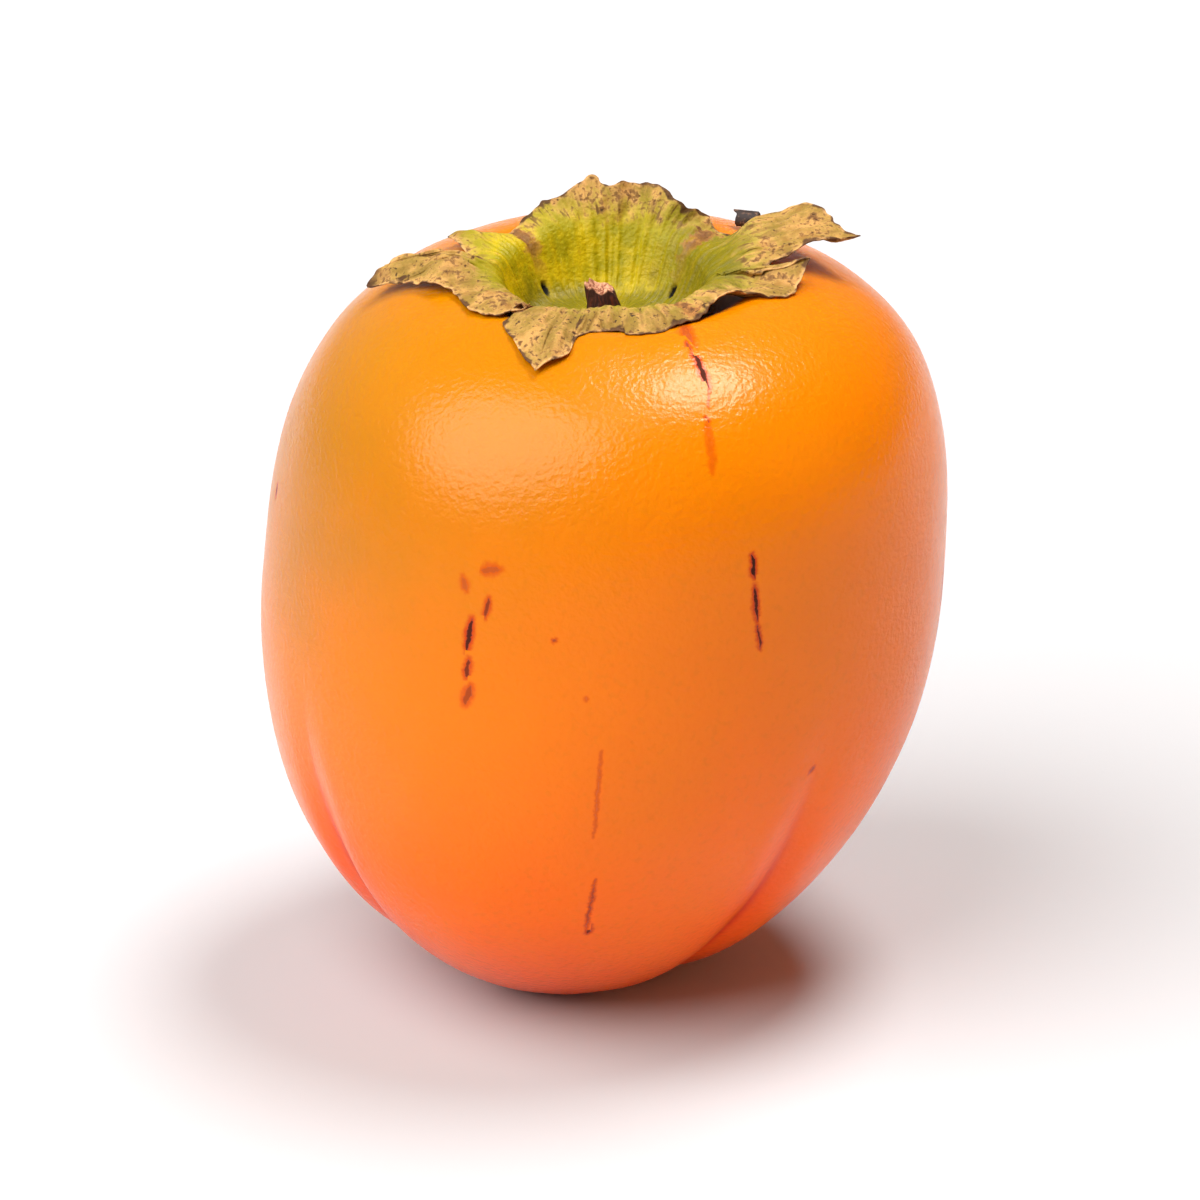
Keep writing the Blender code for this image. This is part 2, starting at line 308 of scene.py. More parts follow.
class Signal:
    """A number that varies over a surface: arithmetic on it adds Math nodes."""

    __add__ = __radd__ = maths("ADD")
    __sub__ = maths("SUBTRACT")
    __rsub__ = maths("SUBTRACT", swapped=True)
    __mul__ = __rmul__ = maths("MULTIPLY")
    __truediv__ = maths("DIVIDE")
    __pow__ = maths("POWER")
    __abs__ = maths("ABSOLUTE")
    sine = maths("SINE")
    cosine = maths("COSINE")
    at_least = maths("MAXIMUM")
    at_most = maths("MINIMUM")

    def __init__(self, sketch: "Sketch", socket: Socket) -> None:
        """Wrap an output socket of a sketch's tree."""
        self.sketch = sketch
        self.socket = socket

    def rising(self, low: float, high: float) -> "Signal":
        """0 up to low, 1 from high on, an S curve between; low above high makes it fall."""
        inputs = {"Value": self, "From Min": low, "From Max": high}
        node = self.sketch.add("ShaderNodeMapRange", {"interpolation_type": "SMOOTHSTEP"}, inputs)
        return Signal(self.sketch, node.outputs["Result"])


class Sketch:
    """The node tree of a material or of the world, round its shader."""

    def __init__(
        self,
        owner: Material | bpy.types.World,
        shader: str = "Principled BSDF",
        coordinates: str = "Object",
    ) -> None:
        """Start with nothing but the shader, the output and the coordinates.

        Args:
            owner: what the tree belongs to.
            shader: its node's name.
            coordinates: which of them the patterns read.
        """
        owner.use_nodes = True
        self.owner = owner
        self.tree = owner.node_tree
        self.shader = self.tree.nodes[shader]
        self.place = self.tree.nodes.new("ShaderNodeTexCoord").outputs[coordinates]

    @classmethod
    def material(cls, name: str) -> "Sketch":
        """Start a material's tree."""
        return cls(bpy.data.materials.new(name))

    def _feed(self, socket: Socket, value: object) -> None:
        """Link a signal or a socket to an input, or set its value."""
        value = value.socket if isinstance(value, Signal) else value
        if isinstance(value, Socket):
            self.tree.links.new(value, socket)
        elif isinstance(value, tuple) and socket.type == "RGBA":
            socket.default_value = (*value, 1.0)
        else:
            socket.default_value = value

    def add(self, kind: str, settings: dict[str, object], inputs: dict) -> bpy.types.Node:
        """Add any node.

        Args:
            kind: the node's type.
            settings: its properties, set first.
            inputs: a value, signal or socket for each input, by name or by place.

        Returns:
            The node.
        """
        node = self.tree.nodes.new(kind)
        for name, value in settings.items():
            setattr(node, name, value)
        for name, value in inputs.items():
            self._feed(node.inputs[name], value)
        return node

    def set(self, **sockets: object) -> None:
        """Feed the shader's inputs; an underscore stands for a space in a name."""
        for name, value in sockets.items():
            self._feed(self.shader.inputs[name.replace("_", " ")], value)

    def vector(self, name: str, output: str = "Vector") -> Socket:
        """Read a vector kept on the mesh."""
        return self.add("ShaderNodeAttribute", {"attribute_name": name}, {}).outputs[output]

    def attribute(self, name: str) -> Signal:
        """Read a number kept on the mesh."""
        return Signal(self, self.vector(name, "Fac"))

    def split(self, vector: Socket) -> list[Signal]:
        """Take a vector apart into its three numbers."""
        node = self.add("ShaderNodeSeparateXYZ", {}, {"Vector": vector})
        return [Signal(self, socket) for socket in node.outputs]

    def noise(
        self,
        size: float,
        detail: float = 2.0,
        stretch: Triple = (1.0, 1.0, 1.0),
        place: Socket | None = None,
    ) -> Signal:
        """Cloudy noise about 0.5.

        Args:
            size: of its features, in metres, or in the unit of place.
            detail: how many finer octaves are added.
            stretch: how much longer the features are along each axis.
            place: the coordinates to use instead of the object's own.

        Returns:
            The noise.
        """
        scale = tuple(1.0 / (size * length) for length in stretch)
        inputs = {"Vector": place or self.place, "Scale": scale}
        spread = self.add("ShaderNodeMapping", {}, inputs)
        inputs = {"Vector": spread.outputs[0], "Scale": 1.0, "Detail": detail}
        return Signal(self, self.add("ShaderNodeTexNoise", {}, inputs).outputs[0])

    def mix(self, share: Signal, first: object, second: object) -> Socket:
        """Blend two colours: share 0 gives the first, 1 the second."""
        settings = {"data_type": "RGBA", "clamp_factor": True}
        return self.add("ShaderNodeMix", settings, {0: share, 6: first, 7: second}).outputs[2]

    def paint(self, colour: object, *coats: tuple[Colour, Signal]) -> Socket:
        """Lay coats over a colour in order, each a colour and how much of it shows."""
        for coat, share in coats:
            colour = self.mix(share, colour, coat)
        return colour

    def ramp(self, signal: Signal, stops: list[tuple[float, Colour]]) -> Socket:
        """Turn a number into a colour by stops along a ramp.

        Args:
            signal: 0 to 1.
            stops: position and colour of each stop, in order.

        Returns:
            The colour.
        """
        node = self.add("ShaderNodeValToRGB", {}, {"Fac": signal})
        elements = node.color_ramp.elements
        for position, colour in stops[1:-1]:
            elements.new(position).color = (*colour, 1.0)
        for element, (position, colour) in zip(elements, stops):
            element.position = position
            element.color = (*colour, 1.0)
        return node.outputs["Color"]

    def bump(self, height: Signal, distance: float) -> None:
        """Raise the surface's look by a height signal, distance metres for each unit."""
        inputs = {"Height": height, "Distance": distance, "Strength": 1.0}
        self.set(Normal=self.add("ShaderNodeBump", {}, inputs).outputs[0])


# --- fruit


@dataclass(frozen=True)
class Scar:
    """A thin crack or rub mark in the skin.

    Fields:
        azimuth: of its middle, in degrees.
        height: of its middle, in millimetres.
        length, width: its size in millimetres; it narrows towards both ends.
        turn: degrees from upright, clockwise as seen from outside.
        darkness: 0 is a red blush, 1 almost black.
    """

    azimuth: float
    height: float
    length: float
    width: float
    turn: float = 0.0
    darkness: float = 1.0


FRONT_SCARS = (
    Scar(-64.9, 81.6, 6.0, 0.90, 21, 0.30),
    Scar(-67.8, 81.0, 2.6, 0.30, 16, 0.6),
    Scar(-68.2, 79.8, 6.0, 0.60, 7, 0.95),
    Scar(-70.3, 77.5, 4.4, 0.12, 19, 0.2),
    Scar(-71.7, 76.3, 0.8, 0.35, 0, 0.7),
    Scar(-72.1, 74.1, 5.8, 0.46, 4, 0.05),
    Scar(-65.5, 61.6, 2.8, 0.50, -6, 1.0),
    Scar(-64.8, 57.3, 4.4, 0.48, -7, 0.95),
    Scar(-63.8, 53.4, 3.2, 0.36, -12, 0.85),
    Scar(-111.2, 61.6, 2.2, 0.80, 78, 0.28),
    Scar(-115.6, 59.6, 1.7, 0.55, -25, 0.22),
    Scar(-111.0, 57.4, 2.3, 0.50, 4, 0.65),
    Scar(-113.7, 54.0, 4.0, 0.62, 3, 0.95),
    Scar(-113.4, 50.2, 2.3, 0.60, 2, 0.75),
    Scar(-113.0, 47.1, 2.5, 0.74, 14, 0.45),
    Scar(-99.0, 54.6, 0.4, 0.28, 30, 0.5),
    Scar(-93.0, 48.0, 0.4, 0.24, 0, 0.1),
    Scar(-48.0, 34.4, 1.0, 0.40, 40, 0.4),
    Scar(-89.6, 36.4, 11.0, 0.20, 0, 0.1),
    Scar(-88.8, 21.2, 8.5, 0.26, 2, 0.45),
    Scar(-88.5, 17.4, 1.8, 0.46, 8, 0.8),
)


@dataclass(frozen=True)
class HiddenScars:
    """Rows of dashes and patches of specks for the sides that face away, by a seeded draw.

    area is the least and the most azimuth and height of their middles; a dash under the lowest
    height is left out. The draws' bounds stand in the order of a scar's fields.
    """

    seed: int = 11
    rows: int = 9
    patches: int = 4
    area: Table = ((-28.0, 14.0), (212.0, 72.0))
    lowest: float = 7.0

    def _row(self, draw: np.random.Generator) -> list[Scar]:
        """Dashes one above another, as a rubbing twig leaves them."""
        azimuth, height = draw.uniform(*self.area)
        scars = []
        for _ in range(draw.integers(1, 5)):
            shape = draw.uniform((1.4, 0.25, -10.0, 0.4), (5.0, 0.65, 10.0, 1.0))
            scars.append(Scar(azimuth, height, *shape))
            height -= shape[0] / 2 + draw.uniform(1.0, 3.0)
            azimuth += draw.uniform(-1.2, 1.2)
        return [scar for scar in scars if scar.height > self.lowest]

    def _patch(self, draw: np.random.Generator) -> list[Scar]:
        """Specks close together."""
        middle = draw.uniform(*self.area)
        return [
            Scar(
                *(middle + draw.normal(0.0, (4.0, 1.6))),
                *draw.uniform((0.4, 0.3, -90.0, 0.1), (1.6, 0.8, 90.0, 0.8)),
            )
            for _ in range(draw.integers(4, 9))
        ]

    def draw(self) -> list[Scar]:
        """Draw them all."""
        draw = np.random.default_rng(self.seed)
        rows = [scar for _ in range(self.rows) for scar in self._row(draw)]
        return rows + [scar for _ in range(self.patches) for scar in self._patch(draw)]


@dataclass
class Fruit:
    """The fruit: two superellipse quarters turned round a leaning axis.

    It has a hollow under the calyx, four grooves that meet in a pit at the blossom end, and a
    small flat where it rests. The sizes are those of its solid.
    """

    girth_radius: float = 37.0 * MM
    girth_height: float = 45.9 * MM
    crown_plane: float = 82.9 * MM
    floor_cut: float = 1.5 * MM
    belly_power: float = 2.05
    shoulder_power: float = 3.2
    lean: float = 0.078
    mass_height: float = 43.0 * MM
    calyx_x: float = 0.5 * MM
    groove_azimuths: tuple[float, ...] = (35.0, 122.0, 208.0, 313.0)
    groove_depth: float = 1.3 * MM
    groove_half_width: float = 2.8 * MM
    groove_pit_width: float = 0.5 * MM
    groove_spread: float = 0.3
    groove_heights: tuple[float, float] = (12.0 * MM, 46.0 * MM)
    crease_depth: float = 0.15 * MM
    crease_half_width: float = 0.45 * MM
    pit_depth: float = 2.4 * MM
    pit_radius: float = 2.0 * MM
    hollow_depth: float = 8.2 * MM
    hollow_radius: float = 13.0 * MM
    hollow_power: float = 5.0
    swelling: float = 0.5 * MM
    swelling_middle: float = 0.8
    swelling_reach: float = 0.5
    broad_waves: Ripple = Ripple(0.07 * MM, 3, (1, 5), 45 * MM, 16)
    fine_waves: Ripple = Ripple(0.0245 * MM, 5, (6, 16), 14 * MM, 30)
    steady_radius: float = 8 * MM
    flat_softness: float = 0.12 * MM
    # the narrow groove lines' dark red is partly the skin's own red, partly painted shade in the
    # creases
    groove_red_and_shade_line: float = 0.35
    groove_blush: float = 2.6
    rows: int = 236
    columns: int = 388
    row_crowding: float = 0.05
    scars: list[Scar] = field(default_factory=lambda: [*FRONT_SCARS, *HiddenScars().draw()])

    def outline(self) -> tuple[Array, ...]:
        """Radius, height, outward normal and arc length along the outline, evenly spaced.

        Radius and height follow cos and sin of a turn from -90 to 90 degrees, each raised to
        2 / power: one power below the widest girth and one above it.
        """
        turn = np.linspace(-math.pi / 2, math.pi / 2, 8001)
        power = np.where(turn < 0, self.belly_power, self.shoulder_power)
        below = self.girth_height + self.floor_cut
        reach = np.where(turn < 0, below, self.crown_plane - self.girth_height)
        radius = self.girth_radius * np.maximum(np.cos(turn), 0.0) ** (2 / power)
        rise = np.sign(turn) * np.abs(np.sin(turn)) ** (2 / power)
        height = self.girth_height + reach * rise
        length = np.concatenate([[0.0], np.cumsum(np.hypot(np.diff(radius), np.diff(height)))])
        share = np.linspace(0.0, 1.0, self.rows + 2)
        place = length[-1] * (share - self.row_crowding * np.sin(TURN * share))
        radius, height = np.interp(place, length, radius), np.interp(place, length, height)
        along = np.stack([np.gradient(radius, place), np.gradient(height, place)])
        along /= np.hypot(*along)
        inner = slice(1, -1)
        return radius[inner], height[inner], along[1][inner], -along[0][inner], place[inner]

    def axis_x(self, radius: Array, height: Array) -> Array:
        """Where the middle of a ring lies in X: the axis leans, and ends over the calyx."""
        end = self.calyx_x - self.lean * (self.crown_plane - self.mass_height)
        drawn_in = (1.0 - (radius / self.girth_radius) ** 2) ** 2
        upper = np.where(height > self.girth_height, end * drawn_in, 0.0)
        return self.lean * (height - self.mass_height) + upper

    def hollow(self, radius: Array) -> Array:
        """How far the stem end is sunk at a distance from the calyx's axis."""
        return self.hollow_depth * np.exp(-((radius / self.hollow_radius) ** self.hollow_power))

    def groove_share(
        self, radius: Array, height: Array, azimuth: Array, narrowing: float = 1.0
    ) -> Array:
        """1 along the bottom of the blossom end's grooves, falling to 0 beside them.

        Args:
            radius: of the ring.
            height: of the ring.
            azimuth: in radians.
            narrowing: a factor on the grooves' width.

        Returns:
            The share of the groove's depth at each point.
        """
        half_width = narrowing * np.minimum(
            self.groove_pit_width + self.groove_spread * radius, self.groove_half_width
        )
        share = np.zeros(np.broadcast(radius, azimuth).shape)
        for groove in np.radians(self.groove_azimuths):
            turned = azimuth - groove
            across = np.where(np.cos(turned) > 0, radius * np.abs(np.sin(turned)), radius)
            share = np.maximum(share, bell(across, half_width))
        return share * (1.0 - smooth_step(*self.groove_heights, height))

    def pressed_in(self, radius: Array, height: Array, azimuth: Array) -> Array:
        """How far the skin lies inside the plain outline, along its normal.

        It is the sum of the grooves, the crease along each, the pit, and the flanks that swell
        between the grooves: a cosine of four times the azimuth, under a bell up the fruit.
        """
        groove = self.groove_depth * self.groove_share(radius, height, azimuth)
        narrow = self.crease_half_width / self.groove_half_width
        crease = self.crease_depth * self.groove_share(radius, height, azimuth, narrow)
        low = height < self.girth_height
        pit = np.where(low, self.pit_depth * bell(radius, self.pit_radius), 0.0)
        middle = math.radians(sum(self.groove_azimuths) / 4 - 135.0)
        raised = height - self.swelling_middle * self.girth_height
        band = bell(raised, self.swelling_reach * self.girth_height)
        flank = self.swelling * np.cos(4 * (azimuth - middle)) * band
        return groove + crease + pit + flank

    def surface(self) -> tuple[Array, Array, tuple[Array, ...]]:
        """The skin as a grid of points, with each column's azimuth and the outline."""
        outline = self.outline()
        radius, height, normal_out, normal_up, arc = (values[:, None] for values in outline)
        _, azimuth = grid_axes(self.rows, self.columns)
        waves = self.broad_waves(azimuth, arc) + self.fine_waves(azimuth, arc)
        uneven = np.minimum(radius / self.steady_radius, 1.0) * waves
        press = uneven - self.pressed_in(radius, height, azimuth)
        sunk = np.where(height > self.girth_height, self.hollow(radius), 0.0)
        up = height + press * normal_up - sunk
        up = (up + np.sqrt(up**2 + self.flat_softness**2)) / 2
        x = self.axis_x(radius, height)
        points = round_axis(x, 0.0, radius + press * normal_out, azimuth, up)
        return points, azimuth, outline

    def crown_height(self, x: Array, y: Array) -> Array:
        """Height of the stem end's skin under a point of the plan."""
        radius = np.hypot(x - self.calyx_x, y)
        for _ in range(5):
            share = np.clip(radius / self.girth_radius, 0.0, 0.999)
            rise = (1.0 - share**self.shoulder_power) ** (1 / self.shoulder_power)
            height = self.girth_height + (self.crown_plane - self.girth_height) * rise
            radius = np.hypot(x - self.axis_x(radius, height), y)
        return height - self.hollow(radius)

    def keep_scars(self, piece: Piece, grid: RoundGrid, outline: tuple[Array, ...]) -> None:
        """Keep on each face the scar nearest to it, and on each corner its place on the skin.

        A corner holds its azimuth in radians and, in millimetres, its arc length up the outline
        and its ring's radius. A face holds its scar's azimuth, arc length and turn, and then the
        scar's half length, half width and darkness.

        Args:
            piece: the skin.
            grid: that it was made of.
            outline: of the fruit.
        """
        radius, height, _, _, arc = outline
        row, column = (
            np.concatenate([part.ravel() for part in parts]) for parts in zip(*grid.corners())
        )
        row = row.astype(int)
        place = np.stack([column * TURN / self.columns, arc[row] / MM, radius[row] / MM], axis=-1)
        set_attribute(piece, "skin_place", Domain.CORNER, place)
        first = np.zeros(len(piece.data.polygons), dtype=np.int32)
        piece.data.polygons.foreach_get("loop_start", first)
        azimuth, along, ring = place[first].T[..., None]
        marks = np.array([astuple(scar) for scar in self.scars])
        turned, middle, length, width, turn, darkness = marks.T
        middle = np.interp(middle * MM, height, arc) / MM
        turned = np.radians(turned)
        centre = turned + TURN * np.round((azimuth - turned) / TURN)
        beyond = np.maximum(np.abs(along - middle) - length / 2, 0.0)
        nearest = np.hypot((azimuth - centre) * ring, beyond).argmin(axis=1)
        centre = centre[np.arange(len(nearest)), nearest]
        where = [centre, middle[nearest], np.radians(turn)[nearest]]
        size = np.stack([length / 2, width / 2, darkness], axis=-1)
        set_attribute(piece, "scar_place", Domain.FACE, np.stack(where, axis=-1))
        set_attribute(piece, "scar_size", Domain.FACE, size[nearest])

    def build(self, finish: "SkinFinish") -> None:
        """Make the fruit and dress it."""
        points, azimuth, outline = self.surface()
        radius, height = outline[0][:, None], outline[1][:, None]
        # the narrow groove mask carries painted shade in the creases as well as red; the wide one
        # carries the blossom end's red
        values = {
            name: self.groove_share(radius, height, azimuth, width)
            for name, width in (("groove", self.groove_red_and_shade_line), ("blush", self.groove_blush))
        }
        grid = RoundGrid(points, values)
        piece = grid.build("skin", finish.build(), CadNode.FRUIT, "skin")
        self.keep_scars(piece, grid, outline)


@dataclass(frozen=True)
class SkinFinish:
    """Ripe skin: golden at the shoulders, orange, then red-orange at the blossom end.

    It is translucent under a thin waxy coat, pebbled like fine leather, and broken by scars with
    a dark core and a red rim.
    """

    fruit_height: float = 82.0 * MM
    shoulder: Colour = linear(214, 118, 0)
    high: Colour = linear(224, 117, 0)
    middle: Colour = linear(235, 115, 0)
    low: Colour = linear(252, 106, 0)
    blossom_end: Colour = linear(252, 84, 2)
    golden: Colour = linear(165, 106, 0)
    # blush: the groove lines' dark red, partly the skin's own red and partly painted shade in the
    # creases
    blush: Colour = linear(206, 44, 4)
    scar_core: Colour = linear(52, 14, 6)
    scar_rim: Colour = linear(190, 38, 2)
    pebble_size: float = 0.65 * MM
    pebble_height: float = 0.105 * MM

    def _scars(self, sketch: Sketch) -> tuple[Signal, Signal]:
        """How much of the scars' core and of their rim shows.

        Distance is counted from a scar's middle line, less its half width, which shrinks to
        nothing at its ends; noise frays the line that this leaves.
        """
        azimuth, arc, radius = sketch.split(sketch.vector("skin_place"))
        scar_azimuth, scar_arc, turn = sketch.split(sketch.vector("scar_place"))
        half_length, half_width, darkness = sketch.split(sketch.vector("scar_size"))
        aside, up = (azimuth - scar_azimuth) * radius, arc - scar_arc
        across = aside * turn.cosine() - up * turn.sine()
        along = aside * turn.sine() + up * turn.cosine()
        wobble = (sketch.noise(1.1 * MM, 1.0) - 0.5) * 0.5
        beyond = (abs(along) - half_length).at_least(0.0)
        gap = ((across + wobble) ** 2.0 + beyond**2.0) ** 0.5
        taper = 1.0 - (abs(along) / half_length).at_most(1.0) ** 3.0
        fray = (sketch.noise(0.35 * MM, 3.0) - 0.5) * 0.45
        outside = gap - half_width * taper + fray
        core = outside.rising(0.06, -0.12) * darkness
        rim = (outside / (half_width * 1.6 + 0.15)).rising(1.0, 0.0) * (darkness * 0.5 + 0.5)
        return core, rim

    def _colour(self, sketch: Sketch) -> Socket:
        """Blend the ripe colours up the fruit and over cloudy patches."""
        x, y, z = sketch.split(sketch.place)
        cloud = sketch.noise(22 * MM, 3.0) - 0.5
        stops = [
            (0.0, self.blossom_end),
            (0.22, self.low),
            (0.52, self.middle),
            (0.78, self.high),
            (0.98, self.shoulder),
        ]
        ripe = sketch.ramp(z / self.fruit_height + cloud * 0.30, stops)
        sunny_side = (x * -18.0 + y * -6.0 + z * 14.0 + cloud * 0.6).rising(0.80, 1.80)
        speckle = sketch.noise(0.9 * MM, 2.0).rising(0.52, 0.75)
        return sketch.paint(ripe, (self.golden, sunny_side * 0.85), (self.golden, speckle * 0.10))

    def build(self) -> Material:
        """Make the material."""
        sketch = Sketch.material("waxy_skin")
        core, rim = self._scars(sketch)
        colour = sketch.paint(
            self._colour(sketch),
            (self.blossom_end, sketch.attribute("blush") ** 2.0 * 0.9),
            # the groove lines darken to deep red: partly the skin's own red, partly painted shade
            # in the creases
            (self.blush, sketch.attribute("groove") ** 2.0 * 0.85),
            (self.scar_rim, rim * 0.85),
            (self.scar_core, core),
        )
        cloud = sketch.noise(6 * MM, 2.0)
        sketch.set(
            Base_Color=colour,
            Roughness=cloud * 0.10 + core * 0.6 + 0.18,
            Subsurface_Weight=0.22,
            Subsurface_Radius=(1.0, 0.35, 0.08),
            Subsurface_Scale=4 * MM,
            Specular_IOR_Level=0.27,
            Specular_Tint=(1.0, 0.92, 0.75),
        )
        pebbles = sketch.noise(self.pebble_size, 2.0)
        sketch.bump(pebbles - core * 0.3, self.pebble_height)
        return sketch.owner


# --- calyx


@dataclass(frozen=True)
class TornMargin:
    """The margin of the four torn lobes, and the way their sheet takes to it.

    Fields:
        rows: the azimuth in degrees where a line leaves the bowl's rim; then for its end on the
            margin the azimuth in degrees, and the radius and the height over the bowl's floor in
            millimetres; then how far the sheet arches up between the two, in millimetres.
        green_reach: azimuth on the rim, and how far past the rim the sheet is still green.
    """

    rows: Table = (
        (-52, -52, 16.7, 6.1, 0.0), (-47, -48, 16.3, 6.8, 0.2), (-41, -41, 16.0, 7.4, 0.3),
        (-35, -34, 16.2, 7.6, 0.3), (-30, -29, 16.7, 7.3, 0.2), (-26, -25, 17.4, 6.6, 0.0),
        (-22, -21, 19.1, 5.6, -0.2), (-18, -17, 20.6, 5.3, -0.5), (-15, -13, 21.2, 5.4, -0.6),
        (-12, -8, 21.4, 6.1, -0.6), (-10, -4, 21.9, 7.0, -0.4), (-9, -1, 22.3, 7.8, -0.3),
        (-8, -4, 19.8, 7.0, -0.3), (-7, -7, 17.0, 6.6, -0.2),
        (-5.5, -1, 18.4, 7.7, 0.2), (-3.5, 3, 21.3, 8.4, 0.5), (-1.5, 6, 23.0, 8.8, 0.8),
        (0.5, 7.5, 25.0, 8.9, 1.0), (3, 9, 28.3, 8.7, 1.2), (6, 12, 26.9, 8.9, 1.2),
        (9, 16, 26.2, 9.1, 1.0), (13, 20.5, 25.8, 9.3, 0.8), (18, 26, 24.5, 9.1, 0.6),
        (23, 30, 22.6, 8.3, 0.4), (28, 34, 20.5, 7.2, 0.3), (33, 37, 18.8, 6.7, 0.2),
        (38, 39, 17.5, 6.2, 0.2), (42, 44, 16.9, 6.8, 0.2), (46, 48, 17.3, 7.3, 0.2),
        (50, 51, 16.6, 7.9, 0.2), (54, 53.5, 15.0, 8.4, 0.2), (59, 57.5, 14.5, 9.4, 0.2),
        (64, 62, 14.7, 10.2, 0.2), (68, 66, 14.9, 10.6, 0.2), (73, 72, 14.9, 10.7, 0.2),
        (78, 78, 14.5, 10.5, 0.2), (82, 83, 14.2, 10.7, 0.2), (86, 89, 14.1, 10.1, 0.2),
        (89, 92.5, 14.4, 10.6, 0.2), (91, 94.5, 14.9, 11.5, 0.2), (94, 97.5, 14.6, 11.2, 0.2),
        (98, 101.5, 14.6, 10.7, 0.2), (102, 106, 14.3, 10.0, 0.2), (107, 112, 14.3, 9.2, 0.2),
        (111, 117, 15.1, 8.9, 0.2), (116, 120, 14.5, 8.5, 0.2), (121, 126, 14.4, 7.9, 0.2),
        (127, 131, 14.5, 7.3, 0.2), (132, 134.5, 14.3, 6.7, 0.2), (137, 139.5, 15.0, 6.3, 0.3),
        (143, 144.5, 16.6, 6.2, 0.5), (149, 147.5, 18.4, 6.2, 0.6), (154, 149.5, 20.2, 6.2, 0.6),
        (158, 156, 17.6, 6.3, 0.5), (163, 164.5, 15.3, 6.1, 0.3), (169, 172.5, 14.1, 5.9, 0.2),
        (173, 176, 13.8, 5.9, 0.2), (175, 175.5, 15.2, 6.8, 0.5), (177, 174, 17.7, 6.8, 1.2),
        (179, 173, 20.9, 6.4, 2.0), (181, 173.5, 23.2, 6.0, 2.4), (183, 174, 24.8, 5.0, 2.6),
        (185, 177, 26.2, 3.6, 2.8), (187, 179.5, 23.9, 4.4, 2.8), (189, 181, 22.6, 5.3, 2.6),
        (192, 185.5, 20.9, 5.9, 2.0), (196, 191.5, 19.3, 6.2, 1.4), (201, 198, 17.5, 6.3, 0.9),
        (206, 206, 17.5, 6.2, 0.6), (212, 215, 18.0, 5.8, 0.5), (217, 223, 17.5, 5.6, 0.4),
        (222, 228, 16.6, 5.8, 0.3), (226, 229.5, 15.1, 6.2, 0.2), (229, 230.5, 13.5, 6.4, 0.1),
        (231, 230, 15.4, 5.9, 0.3), (234, 230.5, 17.4, 5.7, 0.6), (237, 235, 18.7, 5.5, 0.8),
        (241, 241, 20.1, 5.3, 0.9), (245, 246.5, 22.4, 4.9, 1.0), (248, 250, 23.3, 4.5, 1.1),
        (250, 252.5, 24.5, 3.9, 1.1), (252, 253.5, 23.2, 4.7, 1.1), (255, 257, 22.3, 4.9, 1.0),
        (258, 259.5, 21.1, 5.0, 0.9), (261, 260, 19.0, 5.6, 0.6), (264, 261, 18.0, 5.8, 0.5),
        (268, 264, 16.7, 5.7, 0.4), (274, 270, 15.8, 5.7, 0.4), (279, 276.5, 15.7, 5.7, 0.4),
        (281, 277, 17.2, 5.5, 0.4), (287, 283.5, 17.6, 5.5, 0.4), (292, 289.5, 17.6, 5.5, 0.4),
        (298, 298, 16.6, 5.6, 0.3), (303, 304, 16.5, 5.8, 0.2),
    )
    green_reach: Table = (
        (0, 3.5), (25, 4.5), (45, 3.0), (70, 1.6), (90, 1.8), (115, 2.4), (135, 2.5),
        (150, 4.0), (170, 2.0), (200, -0.5), (240, -1.5), (290, -1.2), (330, 0.5),
    )


